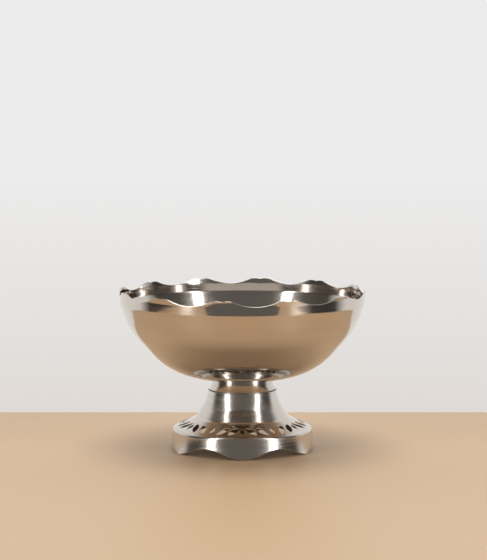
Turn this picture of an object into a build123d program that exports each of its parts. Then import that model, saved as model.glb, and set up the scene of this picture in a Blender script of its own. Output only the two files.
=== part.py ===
from build123d import *
import os
from math import cos, radians, sin, tan

# Footed punch bowl in polished sheet metal, in millimetres.
# The origin is on the tabletop under the middle of the bowl, with +Z up.
# Azimuths are in degrees from -Y, growing towards +X.
# A slope is the angle between an outline and the vertical, in degrees.

# Sheet and fits
BOWL_SHEET = 1.5
FOOT_SHEET = 1.3
COLLAR_SHEET = 1.3
SOLDER_GAP = 0.05
THREAD_GAP = 0.05
OVERCUT = 0.1

# Foot: trumpet stem, sloping pierced shoulder, rounded corner and skirt
FOOT_HEIGHT = 86.4
STEM_TOP_RADIUS = 50.4
STEM_TOP_SLOPE = 8.0
STEM_CURVE_RADIUS = 67.4
STEM_FOOT_SLOPE = 33.0
STEM_RUN = 12.8
SHOULDER_BEND_RADIUS = 12.0
SHOULDER_SLOPE = 65.0
SHOULDER_RUN = 29.6
CORNER_RADIUS = 5.0
SKIRT_TOP_SLOPE = 6.0
SKIRT_FLARE_SHARE = 0.153

# Arches that leave six lobes to stand on
LOBE_COUNT = 6
LOBE_FLAT = 5.2
ARCH_HEIGHT = 13.0
ARCH_KNEE_HEIGHT = 8.1
ARCH_KNEE_SHARE = 0.48

# Fretwork in the shoulder: leaning leaves and lozenges, mirrored about each lobe
FRET_RADIUS = 86.0
LEAF_LENGTH = 22.0
LEAF_WIDTH = 9.0
LEAF_LEAN = 38.0
LEAF_AZIMUTHS = (8.8, 19.2)
LOZENGE_LENGTH = 14.0
LOZENGE_WIDTH = 8.0

# Plate in the mouth of the stem, with the raised seat that carries the bowl
PLATE_THICKNESS = 4.0
PLATE_HOLE_GAP = 0.5
SEAT_RISE = 0.8
SEAT_LEDGE = 2.5

# Collar under the bowl, set in from the mouth of the stem
COLLAR_HEIGHT = 17.3
COLLAR_INSET = 1.4
COLLAR_FOOT_SLOPE = 31.0
COLLAR_TAPER = 5.7
COLLAR_FLANGE_WIDTH = 9.0
COLLAR_EDGE_RADIUS = 0.4

# Bowl: flat floor, round belly, flank and wall joined by curves, upright lip, flared edge.
# The sheet is spun a spare height above the humps, and the scallops are cut from it.
FLOOR_RADIUS = 50.1
BELLY_RADIUS = 116.4
FLANK_SLOPE = 42.7
FLANK_RUN = 25.9
KNUCKLE_RADIUS = 94.8
WALL_SLOPE = 18.4
WALL_RUN = 17.4
LIP_BEND_RADIUS = 10.0
LIP_FOOT_SLOPE = 3.2
LIP_TOP_SLOPE = 2.4
LIP_CURVE_RADIUS = 764.0
EDGE_SLOPE = 12.0
EDGE_CURVE_RADIUS = 60.0
EDGE_SPARE = 1.0

# Scalloped rim: long troughs that meet in a pair of small humps with a notch between
SCALLOP_COUNT = 12
SCALLOP_TURN = -9.1
TROUGH_DEPTH = 8.0
NOTCH_DEPTH = 1.2
NOTCH_FLAT = 0.8
HUMP_WIDTH = 14.4
HUMP_START_DEPTH = 1.0

# Bolt, washers and the boss under the bowl
BOLT_RADIUS = 4.0
BOLT_LENGTH = 20.0
BOLT_HEAD_HEIGHT = 5.3
BOLT_HEAD_FLATS = 13.0
BOLT_CHAMFER = 0.6
PLAIN_WASHER_RADIUS = 12.0
PLAIN_WASHER_THICKNESS = 1.6
SPRING_WASHER_RADIUS = 7.4
SPRING_WASHER_THICKNESS = 2.0
SPRING_WASHER_SLOT = 1.2
WASHER_BORE_GAP = 0.2
BOSS_RADIUS = 9.0
BOSS_FLANGE_RADIUS = 24.0
BOSS_FLANGE_THICKNESS = 1.5
BOSS_STANDOFF = 2.8
BOSS_BORE_SPARE = 1.6

# Levels worked out from the sizes above
SEAT_Z = FOOT_HEIGHT + SEAT_RISE
PLATE_BOTTOM_Z = FOOT_HEIGHT - PLATE_THICKNESS
PLAIN_WASHER_Z = PLATE_BOTTOM_Z - PLAIN_WASHER_THICKNESS
SPRING_WASHER_Z = PLAIN_WASHER_Z - SPRING_WASHER_THICKNESS
BOLT_TIP_Z = SPRING_WASHER_Z + BOLT_LENGTH
BOSS_BOTTOM_Z = SEAT_Z + BOSS_STANDOFF
BOWL_FLOOR_Z = SEAT_Z + COLLAR_HEIGHT


def down_slope(slope):
    """Direction in an (r, z) section that runs down and outwards."""
    return (sin(radians(slope)), -cos(radians(slope)))


def up_slope(slope):
    """Direction in an (r, z) section that runs up and outwards."""
    return (sin(radians(slope)), cos(radians(slope)))


def facing_planes(count, first_azimuth, distance):
    """Upright planes spaced round the axis, which face outwards at a distance from it, with local Y up."""
    planes = []
    for k in range(count):
        azimuth = radians(first_azimuth + 360 / count * k)
        outward = (sin(azimuth), -cos(azimuth), 0)
        sideways = (cos(azimuth), sin(azimuth), 0)
        planes.append(Plane(origin=(0, 0, 0), x_dir=sideways, z_dir=outward).offset(distance))
    return planes


def save(part, name):
    part.label = name
    export_step(part, "parts/" + name + ".step")


os.makedirs("parts", exist_ok=True)

# One opening of the fretwork, along X
with BuildSketch() as leaf:
    with BuildLine():
        SagittaArc((-LEAF_LENGTH / 2, 0), (LEAF_LENGTH / 2, 0), LEAF_WIDTH / 2)
        SagittaArc((LEAF_LENGTH / 2, 0), (-LEAF_LENGTH / 2, 0), LEAF_WIDTH / 2)
    make_face()

# Foot shell: one spun sheet, pierced in the shoulder and cut to lobes at the hem
with BuildPart() as foot_shell:
    with BuildSketch(Plane.XZ):
        with BuildLine():
            stem = JernArc(
                start=(STEM_TOP_RADIUS, FOOT_HEIGHT),
                tangent=down_slope(STEM_TOP_SLOPE),
                radius=STEM_CURVE_RADIUS,
                arc_size=STEM_FOOT_SLOPE - STEM_TOP_SLOPE,
            )
            flare = Line(stem @ 1, stem @ 1 + (stem % 1) * STEM_RUN)
            bend = JernArc(
                start=flare @ 1,
                tangent=flare % 1,
                radius=SHOULDER_BEND_RADIUS,
                arc_size=SHOULDER_SLOPE - STEM_FOOT_SLOPE,
            )
            shoulder = Line(bend @ 1, bend @ 1 + (bend % 1) * SHOULDER_RUN)
            corner = JernArc(
                start=shoulder @ 1,
                tangent=shoulder % 1,
                radius=CORNER_RADIUS,
                arc_size=SKIRT_TOP_SLOPE - SHOULDER_SLOPE,
            )
            hem_radius = (corner @ 1).X + SKIRT_FLARE_SHARE * (corner @ 1).Y
            skirt = TangentArc(corner @ 1, (hem_radius, 0), tangent=corner % 1)
            Line(skirt @ 1, skirt @ 1 + (skirt % 1) * FOOT_SHEET)
            offset(amount=FOOT_SHEET, side=Side.RIGHT)
        make_face()
        below_table = (2 * hem_radius, 4 * FOOT_SHEET)
        Rectangle(*below_table, align=(Align.MIN, Align.MAX), mode=Mode.SUBTRACT)
    revolve(axis=Axis.Z)

    pitch = 360 / LOBE_COUNT
    half_arch = hem_radius * sin(radians(pitch / 2)) - LOBE_FLAT / 2
    knee = (half_arch * ARCH_KNEE_SHARE, ARCH_KNEE_HEIGHT)
    arch_start = hem_radius * cos(radians(pitch / 2)) - 2 * FOOT_SHEET
    with BuildSketch(*facing_planes(LOBE_COUNT, pitch / 2, arch_start)):
        with BuildLine():
            crown = ThreePointArc((-knee[0], knee[1]), (0, ARCH_HEIGHT), knee)
            right_flank = TangentArc(crown @ 1, (half_arch, 0), tangent=crown % 1)
            Line(right_flank @ 1, (half_arch, -OVERCUT))
            Line((half_arch, -OVERCUT), (-half_arch, -OVERCUT))
            Line((-half_arch, -OVERCUT), (-half_arch, 0))
            TangentArc(crown @ 0, (-half_arch, 0), tangent=(crown % 0) * -1)
        make_face()
    extrude(amount=hem_radius - arch_start, mode=Mode.SUBTRACT)

    with BuildSketch(Plane.XY.offset(FOOT_HEIGHT)):
        for azimuth in LEAF_AZIMUTHS:
            for side in (-1, 1):
                with PolarLocations(FRET_RADIUS, LOBE_COUNT, start_angle=side * azimuth - 90):
                    add(leaf.sketch, rotation=side * LEAF_LEAN)
        with PolarLocations(FRET_RADIUS, 2 * LOBE_COUNT, start_angle=-90):
            Polygon(
                (-LOZENGE_LENGTH / 2, 0),
                (0, -LOZENGE_WIDTH / 2),
                (LOZENGE_LENGTH / 2, 0),
                (0, LOZENGE_WIDTH / 2),
            )
    extrude(amount=-FOOT_HEIGHT, mode=Mode.SUBTRACT)
save(foot_shell.part, "foot_shell")

# Stem plate: soldered into the mouth of the stem, with a tapered edge and a raised seat
with BuildPart() as stem_plate:
    with BuildSketch(Plane.XZ):
        mouth_radius = STEM_TOP_RADIUS - FOOT_SHEET / cos(radians(STEM_TOP_SLOPE)) - SOLDER_GAP
        edge_spread = PLATE_THICKNESS * tan(radians(STEM_TOP_SLOPE))
        seat_radius = mouth_radius - SEAT_LEDGE
        hole_radius = BOLT_RADIUS + PLATE_HOLE_GAP
        with BuildLine():
            Polyline(
                (hole_radius, PLATE_BOTTOM_Z),
                (mouth_radius + edge_spread, PLATE_BOTTOM_Z),
                (mouth_radius, FOOT_HEIGHT),
                (seat_radius, FOOT_HEIGHT),
                (seat_radius, SEAT_Z),
                (hole_radius, SEAT_Z),
                close=True,
            )
        make_face()
    revolve(axis=Axis.Z)
save(stem_plate.part, "stem_plate")

# Collar: flared ring with an in-turned flange that rests on the seat
with BuildPart() as bowl_collar:
    collar_radius = STEM_TOP_RADIUS - COLLAR_INSET
    with BuildSketch(Plane.XZ) as section:
        with BuildLine():
            TangentArc(
                (collar_radius, SEAT_Z),
                (collar_radius - COLLAR_TAPER, BOWL_FLOOR_Z - SOLDER_GAP),
                tangent=up_slope(-COLLAR_FOOT_SLOPE),
            )
            offset(amount=COLLAR_SHEET, side=Side.LEFT)
        make_face()
        with Locations((collar_radius, SEAT_Z)):
            Rectangle(COLLAR_FLANGE_WIDTH, COLLAR_SHEET, align=(Align.MAX, Align.MIN))
            below_seat = (COLLAR_FLANGE_WIDTH, 2 * COLLAR_SHEET)
            Rectangle(*below_seat, align=(Align.MAX, Align.MAX), mode=Mode.SUBTRACT)
        foot_corner = section.vertices().sort_by(Axis.X)[-1]
        fillet(foot_corner, radius=COLLAR_EDGE_RADIUS)
    revolve(axis=Axis.Z)
save(bowl_collar.part, "bowl_collar")

# Bowl shell: one spun sheet with a scalloped rim
with BuildPart() as bowl_shell:
    with BuildSketch(Plane.XZ):
        with BuildLine():
            floor = Line((0, BOWL_FLOOR_Z), (FLOOR_RADIUS, BOWL_FLOOR_Z))
            belly = JernArc(floor @ 1, floor % 1, BELLY_RADIUS, 90 - FLANK_SLOPE)
            flank = Line(belly @ 1, belly @ 1 + (belly % 1) * FLANK_RUN)
            knuckle = JernArc(flank @ 1, flank % 1, KNUCKLE_RADIUS, FLANK_SLOPE - WALL_SLOPE)
            wall = Line(knuckle @ 1, knuckle @ 1 + (knuckle % 1) * WALL_RUN)
            lip_bend = JernArc(wall @ 1, wall % 1, LIP_BEND_RADIUS, WALL_SLOPE - LIP_FOOT_SLOPE)
            lip = JernArc(lip_bend @ 1, lip_bend % 1, LIP_CURVE_RADIUS, LIP_FOOT_SLOPE - LIP_TOP_SLOPE)
            flared_edge = JernArc(lip @ 1, lip % 1, EDGE_CURVE_RADIUS, LIP_TOP_SLOPE - EDGE_SLOPE)
            offset(amount=BOWL_SHEET, side=Side.LEFT)
        make_face()
    revolve(axis=Axis.Z)

    rim_radius = (flared_edge @ 1).X
    rim_z = (flared_edge @ 1).Y - EDGE_SPARE
    step = 360 / SCALLOP_COUNT
    half_scallop = rim_radius * sin(radians(step / 2))
    hump_start = (half_scallop - HUMP_WIDTH, rim_z - HUMP_START_DEPTH)
    hump_top = (half_scallop - HUMP_WIDTH / 2, rim_z)
    notch = (half_scallop, rim_z - NOTCH_DEPTH)
    edge = half_scallop + NOTCH_FLAT / 2
    cut_start = (rim_radius - 4 * BOWL_SHEET) * cos(radians(step / 2))
    with BuildSketch(*facing_planes(SCALLOP_COUNT, SCALLOP_TURN + step / 2, cut_start)):
        with BuildLine():
            left_start = (-hump_start[0], hump_start[1])
            ThreePointArc(left_start, (0, rim_z - TROUGH_DEPTH), hump_start)
            for side in (-1, 1):
                ThreePointArc(
                    (side * hump_start[0], hump_start[1]),
                    (side * hump_top[0], hump_top[1]),
                    (side * notch[0], notch[1]),
                )
                Line((side * notch[0], notch[1]), (side * edge, notch[1]))
                Line((side * edge, notch[1]), (side * edge, rim_z + 2 * EDGE_SPARE))
            Line((-edge, rim_z + 2 * EDGE_SPARE), (edge, rim_z + 2 * EDGE_SPARE))
        make_face()
    extrude(amount=rim_radius + BOWL_SHEET - cut_start, mode=Mode.SUBTRACT)
save(bowl_shell.part, "bowl_shell")

# Boss: flanged blind nut soldered under the floor of the bowl
with BuildPart() as bowl_boss:
    with BuildSketch(Plane.XY.offset(BOSS_BOTTOM_Z)):
        Circle(BOSS_RADIUS)
    extrude(amount=BOWL_FLOOR_Z - SOLDER_GAP - BOSS_BOTTOM_Z)
    with BuildSketch(Plane.XY.offset(BOWL_FLOOR_Z - SOLDER_GAP - BOSS_FLANGE_THICKNESS)):
        Circle(BOSS_FLANGE_RADIUS)
    extrude(amount=BOSS_FLANGE_THICKNESS)
    with BuildSketch(Plane.XY.offset(BOSS_BOTTOM_Z)):
        Circle(BOLT_RADIUS + THREAD_GAP)
    extrude(amount=BOLT_TIP_Z + BOSS_BORE_SPARE - BOSS_BOTTOM_Z, mode=Mode.SUBTRACT)
save(bowl_boss.part, "bowl_boss")

# Plain washer against the underside of the plate
with BuildPart() as plain_washer:
    with BuildSketch(Plane.XY.offset(PLAIN_WASHER_Z)):
        Circle(PLAIN_WASHER_RADIUS)
        Circle(BOLT_RADIUS + WASHER_BORE_GAP, mode=Mode.SUBTRACT)
    extrude(amount=PLAIN_WASHER_THICKNESS)
save(plain_washer.part, "plain_washer")

# Spring washer: a split ring, pressed flat
with BuildPart() as spring_washer:
    with BuildSketch(Plane.XY.offset(SPRING_WASHER_Z)):
        Circle(SPRING_WASHER_RADIUS)
        Circle(BOLT_RADIUS + WASHER_BORE_GAP, mode=Mode.SUBTRACT)
        with Locations((SPRING_WASHER_RADIUS / 2, 0)):
            Rectangle(SPRING_WASHER_RADIUS + OVERCUT, SPRING_WASHER_SLOT, mode=Mode.SUBTRACT)
    extrude(amount=SPRING_WASHER_THICKNESS)
save(spring_washer.part, "spring_washer")

# Clamp bolt: hexagon head below, plain shank for its thread
with BuildPart() as clamp_bolt:
    with BuildSketch(Plane.XY.offset(SPRING_WASHER_Z - BOLT_HEAD_HEIGHT)):
        RegularPolygon(BOLT_HEAD_FLATS / 2, 6, major_radius=False)
    extrude(amount=BOLT_HEAD_HEIGHT)
    with BuildSketch(Plane.XY.offset(SPRING_WASHER_Z)):
        Circle(BOLT_RADIUS)
    extrude(amount=BOLT_LENGTH)
    chamfer(clamp_bolt.faces().sort_by(Axis.Z)[-1].edges(), length=BOLT_CHAMFER)
save(clamp_bolt.part, "clamp_bolt")
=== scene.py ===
"""Looks of a footed punch bowl in polished sheet metal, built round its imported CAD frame."""
import math

import bpy
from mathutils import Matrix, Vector
from mathutils.geometry import delaunay_2d_cdt


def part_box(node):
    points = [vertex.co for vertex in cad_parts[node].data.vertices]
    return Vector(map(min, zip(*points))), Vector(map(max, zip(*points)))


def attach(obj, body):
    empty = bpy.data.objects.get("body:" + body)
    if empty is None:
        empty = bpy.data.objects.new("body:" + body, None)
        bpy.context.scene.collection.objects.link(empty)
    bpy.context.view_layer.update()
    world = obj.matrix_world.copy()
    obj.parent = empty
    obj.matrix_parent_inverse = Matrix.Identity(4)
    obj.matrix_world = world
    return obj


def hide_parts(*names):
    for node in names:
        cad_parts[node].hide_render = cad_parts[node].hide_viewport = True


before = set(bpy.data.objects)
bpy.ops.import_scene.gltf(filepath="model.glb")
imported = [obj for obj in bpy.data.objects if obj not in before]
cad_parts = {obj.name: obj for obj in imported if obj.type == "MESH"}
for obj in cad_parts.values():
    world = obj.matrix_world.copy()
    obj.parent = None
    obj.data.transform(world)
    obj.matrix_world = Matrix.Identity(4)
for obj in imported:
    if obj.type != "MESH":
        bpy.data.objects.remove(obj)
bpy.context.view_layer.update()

MM = 0.001

# Sections are in millimetres and degrees, as in the CAD source.
BOWL_SHEET = 1.5
FOOT_SHEET = 1.3
COLLAR_SHEET = 1.3
EDGE_STEPS = 8
HALVINGS = 40
FLOOR_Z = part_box("bowl_shell")[0].z / MM
RIM_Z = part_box("bowl_shell")[1].z / MM
SEAT_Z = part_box("bowl_collar")[0].z / MM
COLLAR_TOP_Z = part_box("bowl_collar")[1].z / MM
STEM_TOP_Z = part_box("foot_shell")[1].z / MM
STEM_TOP_RADIUS = 50.4
LOBE_COUNT = 6
SCALLOP_COUNT = 12
SCALLOP_TURN = -9.1
FRET_RADIUS = 86.0


# ---------------------------------------------------------------- sections

class Outline:
    """A section outline of tangent straight and round steps, traced from (r, z) along a heading.

    The heading is in degrees from the outward direction, and the outside is on the side given:
    +1 for the left of the heading, -1 for its right.
    """

    def __init__(self, r, z, heading, outside):
        self.steps = []
        self.end = (r, z, math.radians(heading))
        self.length = 0.0
        self.outside = outside

    def arc(self, radius, turn):
        turn = math.radians(turn)
        self._add(radius * abs(turn), math.copysign(1 / radius, turn))
        return self

    def line(self, length):
        self._add(length, 0.0)
        return self

    def arc_to(self, r, z):
        r0, z0, heading = self.end
        chord = math.hypot(r - r0, z - z0)
        half_turn = math.atan2(z - z0, r - r0) - heading
        radius = chord / 2 / abs(math.sin(half_turn))
        return self.arc(radius, math.degrees(2 * half_turn))

    def _add(self, length, bend):
        self.steps.append((self.length, self.end, bend))
        self.length += length
        self.end = self._walk(self.end, bend, length)

    @staticmethod
    def _walk(start, bend, distance):
        r, z, heading = start
        turned = heading + bend * distance
        if bend == 0:
            return r + distance * math.cos(heading), z + distance * math.sin(heading), heading
        radius = 1 / bend
        r += radius * (math.sin(turned) - math.sin(heading))
        z -= radius * (math.cos(turned) - math.cos(heading))
        return r, z, turned

    def at(self, distance, inset=0.0):
        """(r, z, normal r, normal z, tangent r, tangent z) that far along, moved inwards by inset."""
        first, start, bend = [s for s in self.steps if s[0] <= distance or s[0] == 0][-1]
        r, z, heading = self._walk(start, bend, distance - first)
        tangent = (math.cos(heading), math.sin(heading))
        normal = (-self.outside * tangent[1], self.outside * tangent[0])
        return (r - normal[0] * inset, z - normal[1] * inset, *normal, *tangent)

    def find(self, value, low, high, inset=0.0, axis=0):
        """The distance between low and high at which r (axis 0) or z (axis 1) has that value."""
        rising = self.at(high, inset)[axis] > self.at(low, inset)[axis]
        for _ in range(HALVINGS):
            middle = (low + high) / 2
            if (self.at(middle, inset)[axis] < value) == rising:
                low = middle
            else:
                high = middle
        return (low + high) / 2


def spread(first, last, count):
    """That many even steps from first to last, without last itself."""
    return [first + (last - first) * k / count for k in range(count)]


def circle_through(a, b, c):
    """Centre and radius of the circle through three points of the plane."""
    ax, ay, bx, by, cx, cy = *a, *b, *c
    d = 2 * (ax * (by - cy) + bx * (cy - ay) + cx * (ay - by))
    aa, bb, cc = ax * ax + ay * ay, bx * bx + by * by, cx * cx + cy * cy
    x = (aa * (by - cy) + bb * (cy - ay) + cc * (ay - by)) / d
    y = (aa * (cx - bx) + bb * (ax - cx) + cc * (bx - ax)) / d
    return x, y, math.hypot(ax - x, ay - y)


def place(azimuth, r, z):
    """A point in metres; the azimuth is in radians from -Y towards +X."""
    return Vector((r * math.sin(azimuth), -r * math.cos(azimuth), z)) * MM


def direction(azimuth, r, z):
    return Vector((r * math.sin(azimuth), -r * math.cos(azimuth), z)).normalized()


# ---------------------------------------------------------------- meshes

class Skin:
    """Vertices with their own normals, in rings joined by faces."""

    def __init__(self):
        self.points = []
        self.normals = []
        self.faces = []
        self.flat = []

    def vertex(self, point, normal=None):
        self.points.append(point)
        self.normals.append(normal)
        return len(self.points) - 1

    def face(self, corners, flat=False):
        self.faces.append(tuple(corners))
        self.flat.append(flat)

    def ring(self, azimuths, section):
        """One vertex at each azimuth; section gives (r, z, normal r, normal z) or just (r, z)."""
        made = []
        for azimuth in azimuths:
            r, z, *normal = section(azimuth)
            facing = direction(azimuth, *normal) if normal else None
            made.append(self.vertex(place(azimuth, r, z), facing))
        return made

    def join(self, first, second, flip=False, flat=False):
        for k in range(len(first)):
            n = (k + 1) % len(first)
            corners = (first[k], first[n], second[n], second[k])
            self.face(corners[::-1] if flip else corners, flat)

    def join_all(self, rings, flip=False):
        for first, second in zip(rings, rings[1:]):
            self.join(first, second, flip)

    def build(self, name):
        mesh = bpy.data.meshes.new(name)
        mesh.from_pydata([tuple(p) for p in self.points], [], self.faces)
        mesh.update()
        summed = [Vector() for _ in self.points]
        for polygon in mesh.polygons:
            polygon.use_smooth = True
            if not self.flat[polygon.index]:
                for v in polygon.vertices:
                    summed[v] += polygon.normal * polygon.area
        loops = []
        for polygon in mesh.polygons:
            for v in polygon.vertices:
                own = self.normals[v] or summed[v]
                loops.append(polygon.normal if self.flat[polygon.index] else own.normalized())
        mesh.normals_split_custom_set([tuple(n) for n in loops])
        obj = bpy.data.objects.new(name, mesh)
        bpy.context.scene.collection.objects.link(obj)
        return obj


def edge_section(outline, distance, sheet, angle, onwards=1):
    """A point on the half-round edge of a sheet, from its outside (0) to its inside (pi).

    The edge bulges onwards along the outline (+1) or back against it (-1).
    """
    r, z, nr, nz, tr, tz = outline.at(distance, sheet / 2)
    across = math.cos(angle)
    along = onwards * math.sin(angle)
    reach = sheet / 2
    return r + reach * (across * nr + along * tr), z + reach * (across * nz + along * tz)


def wall_section(outline, distance, inset=0.0):
    """A point on the outside of a sheet, or on its inside where there is an inset, and its normal."""
    r, z, nr, nz, _, _ = outline.at(distance, inset)
    facing = -1 if inset else 1
    return r, z, nr * facing, nz * facing


def wall_rings(skin, outline, azimuths, distances, inset):
    """A level ring at each distance along the outline."""
    return [skin.ring(azimuths, lambda a, s=s: wall_section(outline, s, inset)) for s in distances]


def trimmed_rings(skin, outline, start, ends, count, inset):
    """Rings spread from one distance along the outline to the end that each azimuth has in ends."""
    rings = []
    for share in [*spread(0, 1, count), 1]:
        rings.append(skin.ring(ends, lambda a: wall_section(
            outline, start + (ends[a] - start) * share, inset)))
    return rings


def round_edge(skin, outline, ends, sheet, onwards=1):
    """Rings over the half-round edge of a sheet, which lies at the end that each azimuth has."""
    rings = []
    for angle in spread(0, math.pi, EDGE_STEPS)[1:]:
        rings.append(skin.ring(ends, lambda a: edge_section(outline, ends[a], sheet, angle, onwards)))
    return rings


# ---------------------------------------------------------------- bowl

BOWL_COLUMNS = SCALLOP_COUNT * 40
BOWL_FIRST_RING = 0.5
# One count for each step of the outline between the flat floor and the flared edge.
BOWL_RINGS = (24, 6, 14, 6, 10, 5)
FLARE_RINGS = 14
TROUGH_DEPTH = 8.0
NOTCH_DEPTH = 1.2
HUMP_WIDTH = 14.4
HUMP_START_DEPTH = 1.0


def bowl_outline():
    """Flat floor, belly, flank, knuckle, wall, bend, upright lip and flared edge."""
    outline = Outline(0.0, FLOOR_Z, 0.0, outside=-1)
    outline.line(50.1).arc(116.4, 47.3).line(25.9).arc(94.8, 24.3).line(17.4)
    return outline.arc(10.0, 15.2).arc(764.0, 0.8).arc(60.0, -9.6)


def rim_height(azimuth, radius):
    """Height of the rim's edge: long troughs that meet in two humps with a notch between."""
    step = 2 * math.pi / SCALLOP_COUNT
    from_trough = (azimuth - math.radians(SCALLOP_TURN)) % step - step / 2
    x = abs(radius * math.sin(from_trough))
    half = radius * math.sin(step / 2)
    start = (half - HUMP_WIDTH, RIM_Z - HUMP_START_DEPTH)
    if x < start[0]:
        cx, cy, r = circle_through((-start[0], start[1]), (0, RIM_Z - TROUGH_DEPTH), start)
        return cy - math.sqrt(r * r - (x - cx) ** 2)
    top = (half - HUMP_WIDTH / 2, RIM_Z)
    cx, cy, r = circle_through(start, top, (half, RIM_Z - NOTCH_DEPTH))
    return cy + math.sqrt(r * r - (x - cx) ** 2)


def make_bowl():
    """One sheet with an even wall, a flat floor and a half-round scalloped rim."""
    outline = bowl_outline()
    turn = math.radians(SCALLOP_TURN)
    azimuths = [turn + 2 * math.pi * k / BOWL_COLUMNS for k in range(BOWL_COLUMNS)]
    marks = [step[0] for step in outline.steps]
    distances = [BOWL_FIRST_RING]
    for first, last, count in zip(marks[1:], marks[2:], BOWL_RINGS):
        distances += spread(first, last, count)
    flare_start = marks[-1]
    rim_radius = outline.at(outline.length)[0]
    tops = {}
    for azimuth in azimuths:
        height = rim_height(azimuth, rim_radius) - BOWL_SHEET / 2
        tops[azimuth] = outline.find(height, flare_start, outline.length, BOWL_SHEET / 2, axis=1)
    skin = Skin()
    sides = []
    for inset in (0.0, BOWL_SHEET):
        low = wall_rings(skin, outline, azimuths, distances, inset)
        sides.append(low + trimmed_rings(skin, outline, flare_start, tops, FLARE_RINGS, inset))
    outside, inside = sides
    rim = round_edge(skin, outline, tops, BOWL_SHEET)
    skin.join_all([*outside, *rim, *inside[::-1]])
    skin.face(outside[0][::-1], flat=True)
    skin.face(inside[0], flat=True)
    return skin.build("polished_bowl")


# ---------------------------------------------------------------- foot

FOOT_COLUMNS = 420
STEM_RINGS = 44
CORNER_RINGS = 10
SKIRT_RINGS = 14
FRET_RINGS = 14
FRET_COLUMNS = FOOT_COLUMNS * 3 // 4
FRET_INNER = 73.2
FRET_OUTER = 98.6
SKIRT_FLARE_SHARE = 0.153
LOBE_FLAT = 5.2
ARCH_HEIGHT = 13.0
ARCH_KNEE_HEIGHT = 8.1
ARCH_KNEE_SHARE = 0.48
LEAF_LENGTH = 22.0
LEAF_WIDTH = 9.0
LEAF_LEAN = 38.0
LEAF_AZIMUTHS = (8.8, 19.2)
LOZENGE_LENGTH = 14.0
LOZENGE_WIDTH = 8.0
HOLE_BEVEL = 0.25
LEAF_POINTS = 14
FRET_GUARD = 1.2  # how far the band's filler points keep from an opening
BAND_START = 0.9999  # share of the inner rim's radius from which a triangle counts as the band's
HEM_ROUNDS = 4  # the hem's height depends on its radius, so it is settled in rounds


def foot_outline():
    """Stem, flare, bend, shoulder, corner and skirt."""
    outline = Outline(STEM_TOP_RADIUS, STEM_TOP_Z, -82.0, outside=1)
    outline.arc(67.4, 25.0).line(12.8).arc(12.0, 32.0).line(29.6).arc(5.0, -59.0)
    return outline.arc_to(outline.end[0] + SKIRT_FLARE_SHARE * outline.end[1], 0.0)


def hem_height(azimuth, radius):
    """Height of the hem's edge: an arch between each two lobes, flat on the lobes' tips."""
    step = 2 * math.pi / LOBE_COUNT
    x = abs(radius * math.sin(azimuth % step - step / 2))
    half = HEM_RADIUS * math.sin(step / 2) - LOBE_FLAT / 2
    knee = (half * ARCH_KNEE_SHARE, ARCH_KNEE_HEIGHT)
    cx, cy, r = circle_through((-knee[0], knee[1]), (0, ARCH_HEIGHT), knee)
    if x < knee[0]:
        return cy + math.sqrt(r * r - x * x)
    if x > half:
        return 0.0
    leaving = (knee[1] - cy, -knee[0])
    flank = Outline(*knee, math.degrees(math.atan2(leaving[1], leaving[0])), outside=1)
    flank.arc_to(half, 0.0)
    return flank.at(flank.find(x, 0, flank.length))[1]


HEM_RADIUS = foot_outline().end[0]


def leaf_shape():
    """A pointed leaf along X: two shallow arcs."""
    half, rise = LEAF_LENGTH / 2, LEAF_WIDTH / 2
    radius = (half * half + rise * rise) / (2 * rise)
    swing = math.asin(half / radius)
    upper = [(radius * math.sin(a), radius * math.cos(a) - radius + rise)
             for a in spread(-swing, swing, LEAF_POINTS)]
    return upper + [(-x, -y) for x, y in upper]


def lozenge_shape():
    corners = [(-LOZENGE_LENGTH / 2, 0), (0, LOZENGE_WIDTH / 2),
               (LOZENGE_LENGTH / 2, 0), (0, -LOZENGE_WIDTH / 2)]
    shape = []
    for k, (x0, y0) in enumerate(corners):
        x1, y1 = corners[(k + 1) % 4]
        shape += [(x0 + (x1 - x0) * t, y0 + (y1 - y0) * t) for t in (0, 0.25, 0.5, 0.75)]
    return shape


def fret_holes():
    """Outlines of all the openings in plan, each with its centre and its turn."""
    holes = []
    for lobe in range(LOBE_COUNT):
        for azimuth in LEAF_AZIMUTHS:
            for side in (-1, 1):
                angle = 360 / LOBE_COUNT * lobe - 90 + side * azimuth
                holes.append((leaf_shape(), angle, side * LEAF_LEAN))
    for k in range(2 * LOBE_COUNT):
        holes.append((lozenge_shape(), 180 / LOBE_COUNT * k - 90, 0.0))
    return holes


def hole_points(shape, angle, lean, grow):
    """The outline of one opening in plan, grown outwards from its centre line."""
    angle, turned = math.radians(angle), math.radians(angle + lean)
    cx, cy = FRET_RADIUS * math.cos(angle), FRET_RADIUS * math.sin(angle)
    c, s = math.cos(turned), math.sin(turned)
    points = []
    for x, y in shape:
        size = math.hypot(x, y)
        x, y = x * (1 + grow / size), y * (1 + grow / size)
        points.append((cx + c * x - s * y, cy + s * x + c * y))
    return points


def inside_polygon(x, y, polygon):
    hit = False
    for (x0, y0), (x1, y1) in zip(polygon, polygon[1:] + polygon[:1]):
        if (y0 > y) != (y1 > y) and x < (x1 - x0) * (y - y0) / (y1 - y0) + x0:
            hit = not hit
    return hit


def inside_any(x, y, polygons):
    return any(inside_polygon(x, y, polygon) for polygon in polygons)


def filler_points(guards):
    """Points spread evenly over the pierced band, clear of the guard line round each opening."""
    points = []
    for k in range(1, FRET_RINGS):
        r = FRET_INNER + (FRET_OUTER - FRET_INNER) * k / FRET_RINGS
        for j in range(FRET_COLUMNS):
            azimuth = 2 * math.pi * (j + 0.5 * (k % 2)) / FRET_COLUMNS
            x, y = r * math.sin(azimuth), -r * math.cos(azimuth)
            if not inside_any(x, y, guards):
                points.append((x, y))
    return points


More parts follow.
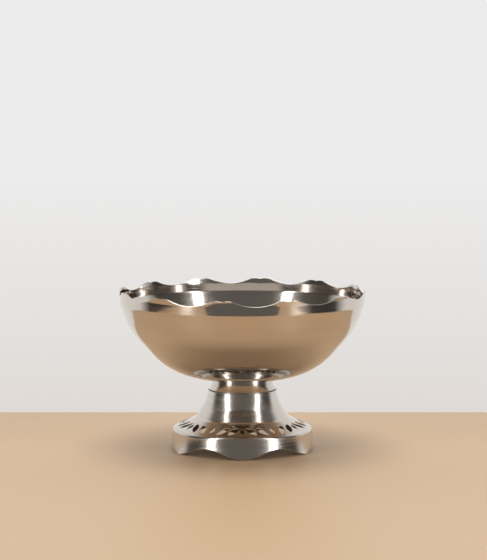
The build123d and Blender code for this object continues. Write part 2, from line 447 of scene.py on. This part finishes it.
def fret_plan(azimuths):
    """The pierced band in plan: points, triangles, its two rims and the loop of each opening."""
    points = []
    edges = []

    def loop(outline):
        first = len(points)
        points.extend(outline)
        count = len(outline)
        edges.extend((first + k, first + (k + 1) % count) for k in range(count))
        return list(range(first, first + count))

    rims = [
        loop([(r * math.sin(a), -r * math.cos(a)) for a in azimuths])
        for r in (FRET_INNER, FRET_OUTER)
    ]
    outlines = [hole_points(*hole, HOLE_BEVEL) for hole in fret_holes()]
    guards = [hole_points(*hole, FRET_GUARD) for hole in fret_holes()]
    loops = [loop(outline) for outline in outlines]
    points.extend(filler_points(guards))
    made = delaunay_2d_cdt([Vector(p) for p in points], edges, [], 0, 1e-4)
    source = [origins[0] for origins in made[3]]
    triangles = []
    for corners in made[2]:
        corners = [source[c] for c in corners]
        x = sum(points[c][0] for c in corners) / 3
        y = sum(points[c][1] for c in corners) / 3
        in_band = FRET_INNER * BAND_START < math.hypot(x, y) < FRET_OUTER
        if in_band and not inside_any(x, y, outlines):
            triangles.append(corners)
    return points, triangles, rims, loops


def fret_side(skin, outline, points, triangles, known, inset):
    """The outer or inner face of the pierced band, with vertices for the points not yet known."""
    skirt_start = outline.steps[-1][0]
    for k, (x, y) in enumerate(points):
        if k not in known:
            distance = outline.find(math.hypot(x, y), 0, skirt_start, inset)
            _, z, nr, nz = wall_section(outline, distance, inset)
            known[k] = skin.vertex(Vector((x, y, z)) * MM, direction(math.atan2(x, -y), nr, nz))
    for corners in triangles:
        face = [known[c] for c in corners]
        skin.face(face[::-1] if inset else face)


def fret_wall(skin, hole, loop, outer, inner):
    """The wall of one opening through the sheet, with a small bevel at both ends."""
    throat = hole_points(*hole, 0.0)
    rows = [[outer[k] for k in loop]]
    for side, bevel in ((outer, -HOLE_BEVEL), (inner, HOLE_BEVEL)):
        row = []
        for (x, y), k in zip(throat, loop):
            row.append(skin.vertex(Vector((x * MM, y * MM, skin.points[side[k]].z + bevel * MM))))
        rows.append(row)
    rows.append([inner[k] for k in loop])
    for first, second in zip(rows, rows[1:]):
        skin.join(first, second, flip=True, flat=True)


def hem_ends(outline, azimuths):
    """The distance along the outline at which the hem's edge lies, for each azimuth."""
    skirt_start = outline.steps[-1][0]
    ends = {}
    for azimuth in azimuths:
        end = outline.length
        for _ in range(HEM_ROUNDS):
            height = hem_height(azimuth, outline.at(end)[0]) + FOOT_SHEET / 2
            end = outline.find(height, skirt_start, outline.length, FOOT_SHEET / 2, axis=1)
        ends[azimuth] = end
    return ends


def make_foot():
    """One sheet: stem, pierced shoulder and skirt, with half-round edges at mouth and hem."""
    outline = foot_outline()
    azimuths = [2 * math.pi * k / FOOT_COLUMNS for k in range(FOOT_COLUMNS)]
    corner_start, skirt_start = [step[0] for step in outline.steps][-2:]
    ends = hem_ends(outline, azimuths)
    skin = Skin()
    stems = []
    skirts = []
    for inset in (0.0, FOOT_SHEET):
        stem_end = outline.find(FRET_INNER, 0, corner_start, inset)
        rim_start = outline.find(FRET_OUTER, 0, corner_start, inset)
        down_stem = [*spread(FOOT_SHEET / 2, stem_end, STEM_RINGS), stem_end]
        stems.append(wall_rings(skin, outline, azimuths, down_stem, inset))
        corner = spread(rim_start, corner_start, 2) + spread(corner_start, skirt_start, CORNER_RINGS)
        skirt = wall_rings(skin, outline, azimuths, corner, inset)
        skirts.append(skirt + trimmed_rings(skin, outline, skirt_start, ends, SKIRT_RINGS, inset))
    mouth = round_edge(skin, outline, dict.fromkeys(azimuths, FOOT_SHEET / 2), FOOT_SHEET, onwards=-1)
    hem = round_edge(skin, outline, ends, FOOT_SHEET)
    skin.join_all([*stems[1][::-1], *mouth[::-1], *stems[0]], flip=True)
    skin.join_all([*skirts[0], *hem, *skirts[1][::-1]], flip=True)

    points, triangles, rims, loops = fret_plan(azimuths)
    faces = []
    for inset, stem, skirt in zip((0.0, FOOT_SHEET), stems, skirts):
        known = dict(zip(rims[0] + rims[1], stem[-1] + skirt[0]))
        fret_side(skin, outline, points, triangles, known, inset)
        faces.append(known)
    for loop, hole in zip(loops, fret_holes()):
        fret_wall(skin, hole, loop, *faces)
    return skin.build("polished_foot")


# ---------------------------------------------------------------- collar and bolt

COLLAR_FOOT_RADIUS = 49.0
COLLAR_TOP_RADIUS = 43.3
COLLAR_FOOT_HEADING = 121.0
COLLAR_FLANGE_RADIUS = 40.0
COLLAR_EDGE_RADIUS = 0.4
COLLAR_COLUMNS = 240
COLLAR_RINGS = 20


def make_collar():
    """Flared ring with a rounded lower edge and an in-turned flange on the seat."""
    outline = Outline(COLLAR_FOOT_RADIUS, SEAT_Z, COLLAR_FOOT_HEADING, outside=-1)
    outline.arc_to(COLLAR_TOP_RADIUS, COLLAR_TOP_Z)
    azimuths = [2 * math.pi * k / COLLAR_COLUMNS for k in range(COLLAR_COLUMNS)]
    skin = Skin()
    outer_first = 2 * COLLAR_EDGE_RADIUS
    inner_first = outline.find(SEAT_Z + COLLAR_SHEET, 0, outline.length, COLLAR_SHEET, axis=1)
    sides = []
    for first, inset in ((outer_first, 0.0), (inner_first, COLLAR_SHEET)):
        distances = [*spread(first, outline.length, COLLAR_RINGS), outline.length]
        sides.append(wall_rings(skin, outline, azimuths, distances, inset))
    outer, inner = sides
    edge_r, edge_z = outline.at(outer_first)[:2]
    low_r = edge_r - COLLAR_EDGE_RADIUS
    rounded = []
    for share in (0.33, 0.66, 1.0):
        angle = share * math.pi / 2
        r = low_r + (edge_r - low_r) * math.cos(angle)
        z = edge_z - (edge_z - SEAT_Z) * math.sin(angle)
        rounded.append(skin.ring(azimuths, lambda a: (r, z)))
    flange_low = skin.ring(azimuths, lambda a: (COLLAR_FLANGE_RADIUS, SEAT_Z))
    flange_high = skin.ring(azimuths, lambda a: (COLLAR_FLANGE_RADIUS, SEAT_Z + COLLAR_SHEET))
    skin.join_all([outer[0], *rounded], flip=True)
    skin.join_all(outer)
    skin.join_all(inner[::-1])
    skin.join(outer[-1], inner[-1], flat=True)
    across_flange = [inner[0], flange_high, flange_low, rounded[-1]]
    for first, second in zip(across_flange, across_flange[1:]):
        skin.join(first, second, flat=True)
    return skin.build("polished_collar")


BOLT_FLATS = 13.0
BOLT_RADIUS = 4.0
BOLT_PITCH = 1.25
THREAD_DEPTH = 0.6
CREST_INSET = 0.02
THREAD_COLUMNS = 60
STEPS_PER_TURN = 8
HEAD_CHAMFER = 0.7
HEAD_FACE_SHARE = 0.95
HEAD_SEAT_SHARE = 0.97


def thread_ring(skin, columns, tip, level):
    """One ring of the threaded shank, with a chamfer at its tip."""
    def section(azimuth):
        phase = (level / BOLT_PITCH - azimuth / (2 * math.pi)) % 1
        depth = THREAD_DEPTH * (1 - abs(2 * phase - 1))
        taper = max(0.0, level - (tip - HEAD_CHAMFER))
        return BOLT_RADIUS - CREST_INSET - depth - taper * (1 - depth / THREAD_DEPTH), level
    return skin.ring(columns, section)


def make_bolt():
    """Hexagon bolt: a chamfered head below a threaded shank."""
    low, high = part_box("clamp_bolt")
    head_low = low.z / MM
    tip = high.z / MM
    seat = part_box("spring_washer")[0].z / MM
    skin = Skin()
    columns = [2 * math.pi * k / THREAD_COLUMNS for k in range(THREAD_COLUMNS)]
    flat = BOLT_FLATS / 2
    corner = flat / math.cos(math.pi / 6)

    def head(level, cap):
        """A hexagon with its corners cut back to the cap's radius."""
        def section(azimuth):
            from_flat = (azimuth + math.pi / 6) % (math.pi / 3) - math.pi / 6
            return min(flat / math.cos(from_flat), cap), level
        return skin.ring(columns, section)

    face = head(head_low, flat * HEAD_FACE_SHARE)
    low_corners = head(head_low + HEAD_CHAMFER / 2, corner)
    high_corners = head(seat - HEAD_CHAMFER / 2, corner)
    seat_edge = head(seat, flat * HEAD_SEAT_SHARE)
    neck = skin.ring(columns, lambda a: (BOLT_RADIUS - THREAD_DEPTH, seat))
    steps = int((tip - seat) / BOLT_PITCH * STEPS_PER_TURN)
    shank = [thread_ring(skin, columns, tip, level) for level in [*spread(seat, tip, steps), tip]]
    skin.face(face[::-1], flat=True)
    # The sides run up to the seat's edge, and the top runs from the corners below it to the neck.
    pairs = [(face, low_corners), (low_corners, seat_edge), (high_corners, neck), (neck, shank[0])]
    for first, second in pairs:
        skin.join(first, second, flat=True)
    skin.join_all(shank)
    skin.face(shank[-1], flat=True)
    return skin.build("threaded_bolt")


# ---------------------------------------------------------------- materials

class Nodes:
    """Short ways to add shader nodes to a tree and link them."""

    def __init__(self, tree):
        self.tree = tree
        tree.nodes.clear()

    def add(self, kind, inputs=(), **settings):
        node = self.tree.nodes.new(kind)
        for key, value in settings.items():
            setattr(node, key, value)
        for key, value in dict(inputs).items():
            if isinstance(value, bpy.types.NodeSocket):
                self.tree.links.new(value, node.inputs[key])
            else:
                node.inputs[key].default_value = value
        return node

    def math(self, operation, *values):
        return self.add("ShaderNodeMath", dict(enumerate(values)), operation=operation).outputs[0]

    def vector(self, x, y, z):
        return self.add("ShaderNodeCombineXYZ", {"X": x, "Y": y, "Z": z}).outputs[0]

    def noise(self, vector, scale, detail, roughness=0.5):
        inputs = {"Vector": vector, "Scale": scale, "Detail": detail, "Roughness": roughness}
        return self.add("ShaderNodeTexNoise", inputs).outputs["Fac"]

    def ramp(self, value, start, full):
        """0 before the start, 1 past the full value and a straight run between."""
        inputs = {"Value": value, "From Min": start, "From Max": full}
        return self.add("ShaderNodeMapRange", inputs).outputs[0]

    def bump(self, height, depth, normal=None):
        inputs = {"Height": height, "Strength": BUMP_STRENGTH, "Distance": depth}
        if normal is not None:
            inputs["Normal"] = normal
        return self.add("ShaderNodeBump", inputs).outputs[0]

    def mix(self, factor, first, second):
        node = self.add("ShaderNodeMix", {"Factor": factor}, data_type="RGBA")
        for socket, value in (("A", first), ("B", second)):
            target = [s for s in node.inputs if s.name == socket and s.type == "RGBA"][0]
            if isinstance(value, bpy.types.NodeSocket):
                self.tree.links.new(value, target)
            else:
                target.default_value = value
        return [s for s in node.outputs if s.type == "RGBA"][0]


STAINLESS = (0.65, 0.60, 0.555)
STAINLESS_WORN = (0.6045, 0.558, 0.50583)
SPUN_SHARE = 0.86
# Colour of faces turned to the axis inside the foot: painted shade of the hollow interior, on top of
# its unpolished finish.
UNPOLISHED_SHADED = (0.30, 0.275, 0.25)
UNPOLISHED_ROUGHNESS = 0.45
ZINC = (0.66, 0.66, 0.67)
TURNED_STEEL = (0.58, 0.56, 0.54)
STAIN_SHARE = 0.72
LEAST_RADIUS = 0.0005
LINES_PER_METRE = 1400.0
BANDS_PER_METRE = 110.0
RIPPLES_PER_METRE = 9.0
WEAR_PER_METRE = 24.0
STAINS_PER_METRE = 90.0
GROOVES_PER_METRE = 1800.0
BUMP_STRENGTH = 0.5
BAND_DEPTH = 0.00006
RIPPLE_DEPTH = 0.0006
GROOVE_DEPTH = 0.00003
SCRATCH_LEANS = (0.5, 1.9, 2.6)
SCRATCH_UNROLL_RADIUS = 0.12
SCRATCH_STRETCH = (26.0, 2600.0, 1.0)
# What each mark adds to the roughness.
WORN = 0.035
SCRATCHED = 0.07
BANDED = 0.04
HAZE = 0.10
CLOUDED = 0.22
# Where a noise starts to count as a mark, and where it counts in full.
WEAR_EDGE = (0.40, 0.68)
SCRATCH_EDGE = (0.70, 0.78)
HAZE_EDGE = (0.54, 0.64)
SHADE_EDGE = (0.35, 0.65)
STAIN_EDGE = (0.42, 0.72)


def darker(colour, share):
    """The opaque colour of that share of the brightness."""
    return (*[c * share for c in colour], 1)


class AxisNodes(Nodes):
    """Nodes of a new material, with the place on the piece measured round its upright axis."""

    def __init__(self, name):
        self.material = bpy.data.materials.new(name)
        self.material.use_nodes = True
        super().__init__(self.material.node_tree)
        self.place = self.add("ShaderNodeTexCoord").outputs["Object"]
        self.x, self.y, self.z = self.add("ShaderNodeSeparateXYZ", {"Vector": self.place}).outputs
        self.radius = self.math("SQRT", self.math("ADD", self.math("MULTIPLY", self.x, self.x),
                                                  self.math("MULTIPLY", self.y, self.y)))

    def surface(self, inputs):
        """Link a metal shader with these inputs to the output, and return the material."""
        shader = self.add("ShaderNodeBsdfPrincipled", {"Metallic": 1.0, **inputs})
        self.add("ShaderNodeOutputMaterial", {"Surface": shader.outputs[0]})
        return self.material


def scratch_marks(n, along):
    """Thin scratches that lean three ways over the unrolled surface."""
    around = n.math("ARCTAN2", n.x, n.math("MULTIPLY", n.y, -1.0))
    unrolled = n.vector(n.math("MULTIPLY", around, SCRATCH_UNROLL_RADIUS), along, 0.0)
    marks = 0.0
    for lean in SCRATCH_LEANS:
        turned = n.add("ShaderNodeVectorRotate", {"Vector": unrolled, "Angle": lean},
                       rotation_type="Z_AXIS")
        stretched = n.add("ShaderNodeVectorMath", {0: turned.outputs[0], 1: SCRATCH_STRETCH},
                          operation="MULTIPLY")
        mark = n.ramp(n.noise(stretched.outputs[0], 1.0, 1.0), *SCRATCH_EDGE)
        marks = n.math("MAXIMUM", marks, mark)
    return marks


def facing_inwards(n, east, north):
    """1 where the surface faces the axis."""
    normal = n.add("ShaderNodeNewGeometry").outputs["Normal"]
    x, y, _ = n.add("ShaderNodeSeparateXYZ", {"Vector": normal}).outputs
    outward = n.math("MULTIPLY_ADD", x, east, n.math("MULTIPLY", y, north))
    return n.math("LESS_THAN", outward, -0.05)


def metal(name, roughness, climb, line_depth, anisotropic, dull_and_shaded_inside=False):
    """Spun and polished sheet, whose shine spreads round the axis.

    climb is +1 where the section rises as it runs outwards and -1 where it falls, so that
    radius + climb * height grows steadily along the sheet.
    """
    n = AxisNodes(name)
    radius = n.math("MAXIMUM", n.radius, LEAST_RADIUS)
    along = n.math("MULTIPLY_ADD", n.z, climb, radius)
    east = n.math("DIVIDE", n.x, radius)
    north = n.math("DIVIDE", n.y, radius)
    fine = n.vector(east, north, n.math("MULTIPLY", along, LINES_PER_METRE))
    lines = n.noise(fine, 1.0, 3.0, 0.6)
    coarse = n.vector(east, north, n.math("MULTIPLY", along, BANDS_PER_METRE))
    bands = n.noise(coarse, 1.0, 2.0)
    ripple = n.noise(n.place, RIPPLES_PER_METRE, 1.0)
    worn = n.ramp(n.noise(n.place, WEAR_PER_METRE, 4.0, 0.6), *WEAR_EDGE)
    rough = n.math("MULTIPLY_ADD", worn, WORN, roughness)
    rough = n.math("MULTIPLY_ADD", scratch_marks(n, along), SCRATCHED, rough)
    rough = n.math("MULTIPLY_ADD", n.math("SUBTRACT", bands, 0.5), BANDED, rough)
    rough = n.math("MULTIPLY_ADD", n.ramp(lines, *HAZE_EDGE), HAZE, rough)
    colour = n.mix(n.math("MULTIPLY", worn, 0.6), (*STAINLESS, 1), (*STAINLESS_WORN, 1))
    both = n.math("MULTIPLY_ADD", lines, 0.5, n.math("MULTIPLY", bands, 0.5))
    shade = n.ramp(both, *SHADE_EDGE)
    colour = n.mix(n.math("MULTIPLY", shade, 0.5), colour, darker(STAINLESS, SPUN_SHARE))
    # Inward faces get a dark colour, which is painted shade of the hollow foot's interior, and the
    # rougher finish of an unpolished inside.
    if dull_and_shaded_inside:
        inside = facing_inwards(n, east, north)
        colour = n.mix(inside, colour, (*UNPOLISHED_SHADED, 1))
        rough = n.math("MAXIMUM", rough, n.math("MULTIPLY", inside, UNPOLISHED_ROUGHNESS))
    normal = None
    for height, depth in ((lines, line_depth), (bands, BAND_DEPTH), (ripple, RIPPLE_DEPTH)):
        normal = n.bump(height, depth, normal)
    tangent = n.add("ShaderNodeTangent", direction_type="RADIAL", axis="Z").outputs[0]
    return n.surface({
        "Base Color": colour, "Roughness": rough, "Normal": normal, "Tangent": tangent,
        "Anisotropic": anisotropic,
    })


def turned_metal(name, tint, roughness):
    """Machined or plated steel for the pieces inside the foot."""
    n = AxisNodes(name)
    grooves = n.noise(n.vector(n.math("MULTIPLY", n.radius, GROOVES_PER_METRE), 0.0, 0.0), 1.0, 2.0)
    cloudy = n.noise(n.place, STAINS_PER_METRE, 5.0, 0.65)
    stains = n.ramp(cloudy, *STAIN_EDGE)
    colour = n.mix(n.math("MULTIPLY", stains, 0.5), (*tint, 1), darker(tint, STAIN_SHARE))
    rough = n.math("MULTIPLY_ADD", cloudy, CLOUDED, roughness)
    normal = n.bump(grooves, GROOVE_DEPTH)
    return n.surface({"Base Color": colour, "Roughness": rough, "Normal": normal})


def finish_with(obj, material):
    obj.data.materials.clear()
    obj.data.materials.append(material)


# ---------------------------------------------------------------- stage

FLOOR_TAN = (0.66, 0.455, 0.27)
FLOOR_LEFT = -1.25
FLOOR_RIGHT = 1.0
FLOOR_FRONT = -1.16
NOTCH_BACK = -0.70
NOTCH_BACK_HALF = 0.31
NOTCH_FRONT_HALF = 0.74
WALL_BEHIND = 0.31
ROOM_DARK = (0.155, 0.142, 0.132)
ROOM_CEILING = (0.16, 0.15, 0.145)
ROOM_GLOW = (0.42, 0.40, 0.38)
ROOM_SIDE = (0.06, 0.053, 0.047)
WALL_PALE = (0.93, 0.92, 0.90)
BACKDROP_LOW = (0.74, 0.70, 0.67)
BACKDROP_HIGH = (0.84, 0.84, 0.84)
# Where each area of the room begins and is full: rises and falls are azimuths in radians from
# straight in front, and the others are the back or up part of a direction.
WALL_EDGE = (0.10, 0.34)
CEILING_EDGE = (0.55, 0.95)
GLOW_RISE = (0.55, 0.85)
GLOW_FALL = (1.20, 0.95)
GLOW_TOP = (0.85, 0.6)
SIDE_RISE = (1.05, 1.20)
SIDE_TOP = (0.5, 0.3)
BACKDROP_EDGE = (-0.165, -0.03)
LAMP_AZIMUTH = 50.0
LAMP_DISTANCE = 2.0
LAMP_WIDTH = 0.34
LAMP_HEIGHT = 1.96
LAMP_MIDDLE = 1.0
LAMP_POWER = 14.0
OVERHEAD_HEIGHT = 2.2
OVERHEAD_SIZE = 1.2
OVERHEAD_POWER = 20.0


def make_world():
    """Pale wall behind, dark room in front, and a backdrop that only the camera sees."""
    world = bpy.data.worlds.new("studio")
    bpy.context.scene.world = world
    world.use_nodes = True
    n = Nodes(world.node_tree)
    way = n.add("ShaderNodeTexCoord").outputs["Generated"]
    x, back, up = n.add("ShaderNodeSeparateXYZ", {"Vector": way}).outputs
    azimuth = n.math("ARCTAN2", n.math("ABSOLUTE", x), n.math("MULTIPLY", back, -1.0))
    room = n.mix(n.ramp(up, *CEILING_EDGE), (*ROOM_DARK, 1), (*ROOM_CEILING, 1))
    glow = n.math("MINIMUM", n.ramp(azimuth, *GLOW_RISE), n.ramp(azimuth, *GLOW_FALL))
    glow = n.math("MULTIPLY", glow, n.ramp(up, *GLOW_TOP))
    room = n.mix(glow, room, (*ROOM_GLOW, 1))
    beside = n.math("MINIMUM", n.ramp(azimuth, *SIDE_RISE), n.ramp(up, *SIDE_TOP))
    room = n.mix(beside, room, (*ROOM_SIDE, 1))
    seen = n.mix(n.ramp(back, *WALL_EDGE), room, (*WALL_PALE, 1))
    backdrop = n.mix(n.ramp(up, *BACKDROP_EDGE), (*BACKDROP_LOW, 1), (*BACKDROP_HIGH, 1))
    to_camera = n.add("ShaderNodeLightPath").outputs["Is Camera Ray"]
    colour = n.mix(to_camera, seen, backdrop)
    background = n.add("ShaderNodeBackground", {"Color": colour, "Strength": 1.0})
    n.add("ShaderNodeOutputWorld", {"Surface": background.outputs[0]})


def make_floor():
    """Plain floor, clear from below, with a notch in front that leaves the rim's dark reflection."""
    mesh = bpy.data.meshes.new("floor")
    plan = [
        (NOTCH_BACK_HALF, NOTCH_BACK), (NOTCH_FRONT_HALF, FLOOR_FRONT),
        (FLOOR_RIGHT, FLOOR_FRONT), (FLOOR_RIGHT, WALL_BEHIND),
        (FLOOR_LEFT, WALL_BEHIND), (FLOOR_LEFT, FLOOR_FRONT),
        (-NOTCH_FRONT_HALF, FLOOR_FRONT), (-NOTCH_BACK_HALF, NOTCH_BACK),
    ]
    mesh.from_pydata([(x, y, 0.0) for x, y in plan], [], [tuple(range(len(plan)))])
    floor = bpy.data.objects.new("floor", mesh)
    bpy.context.scene.collection.objects.link(floor)
    material = bpy.data.materials.new("floor_pale")
    material.use_nodes = True
    n = Nodes(material.node_tree)
    shader = n.add("ShaderNodeBsdfPrincipled", {"Base Color": (*FLOOR_TAN, 1), "Roughness": 0.5})
    from_below = n.add("ShaderNodeNewGeometry").outputs["Backfacing"]
    clear = n.add("ShaderNodeBsdfTransparent")
    surface = n.add("ShaderNodeMixShader", {0: from_below, 1: shader.outputs[0], 2: clear.outputs[0]})
    n.add("ShaderNodeOutputMaterial", {"Surface": surface.outputs[0]})
    finish_with(floor, material)


def area_lamp(name, shape, width, height, power):
    data = bpy.data.lights.new(name, "AREA")
    data.shape = shape
    data.size = width
    data.size_y = height
    data.energy = power
    lamp = bpy.data.objects.new(name, data)
    bpy.context.scene.collection.objects.link(lamp)
    return lamp


def make_lamps():
    """Two upright softboxes, one each side of the camera, and a round one overhead."""
    overhead = area_lamp("overhead", "DISK", OVERHEAD_SIZE, OVERHEAD_SIZE, OVERHEAD_POWER)
    overhead.location = (0, 0, OVERHEAD_HEIGHT)
    for side in (-1, 1):
        lamp = area_lamp("softbox", "RECTANGLE", LAMP_WIDTH, LAMP_HEIGHT, LAMP_POWER)
        azimuth = side * math.radians(LAMP_AZIMUTH)
        x, y = LAMP_DISTANCE * math.sin(azimuth), -LAMP_DISTANCE * math.cos(azimuth)
        lamp.location = (x, y, LAMP_MIDDLE)
        lamp.rotation_euler = Vector((-x, -y, 0)).to_track_quat("-Z", "Y").to_euler()


CAMERA_DISTANCE = 2.6
CAMERA_HEIGHT = 0.4863
CAMERA_PITCH = 0.09176
CAMERA_YAW = -0.00065
CAMERA_LENS = 114.93
SENSOR_WIDTH = 36.0


def make_camera():
    data = bpy.data.cameras.new("camera")
    data.sensor_width = SENSOR_WIDTH
    data.lens = CAMERA_LENS
    camera = bpy.data.objects.new("camera", data)
    camera.location = (0, -CAMERA_DISTANCE, CAMERA_HEIGHT)
    camera.rotation_euler = (math.pi / 2 - CAMERA_PITCH, 0, CAMERA_YAW)
    bpy.context.scene.collection.objects.link(camera)
    bpy.context.scene.camera = camera


# ---------------------------------------------------------------- the object

make_camera()
make_world()
make_lamps()
make_floor()
bpy.context.scene.view_settings.view_transform = "Standard"

bowl = make_bowl()
foot = make_foot()
collar = make_collar()
bolt = make_bolt()
finish_with(bowl, metal(
    "bowl_polish", roughness=0.07, climb=1.0, line_depth=0.00001, anisotropic=0.6))
finish_with(foot, metal(
    "foot_polish", roughness=0.12, climb=-1.0, line_depth=0.00002, anisotropic=0.75, dull_and_shaded_inside=True))
finish_with(collar, metal(
    "collar_polish", roughness=0.11, climb=-1.0, line_depth=0.00002, anisotropic=0.75))
plated = turned_metal("zinc_plate", ZINC, roughness=0.28)
turned = turned_metal("turned_steel", TURNED_STEEL, roughness=0.30)
finish_with(bolt, plated)
for node in ("plain_washer", "spring_washer"):
    finish_with(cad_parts[node], plated)
for node in ("stem_plate", "bowl_boss"):
    finish_with(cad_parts[node], turned)

for piece, body, node, slot in (
    (bowl, "bowl", "bowl_shell", "bowl_metal"),
    (collar, "bowl", "bowl_collar", "collar_metal"),
    (foot, "stand", "foot_shell", "foot_metal"),
    (bolt, "bolt_set", "clamp_bolt", "fastener_metal"),
):
    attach(piece, body)
    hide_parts(node)
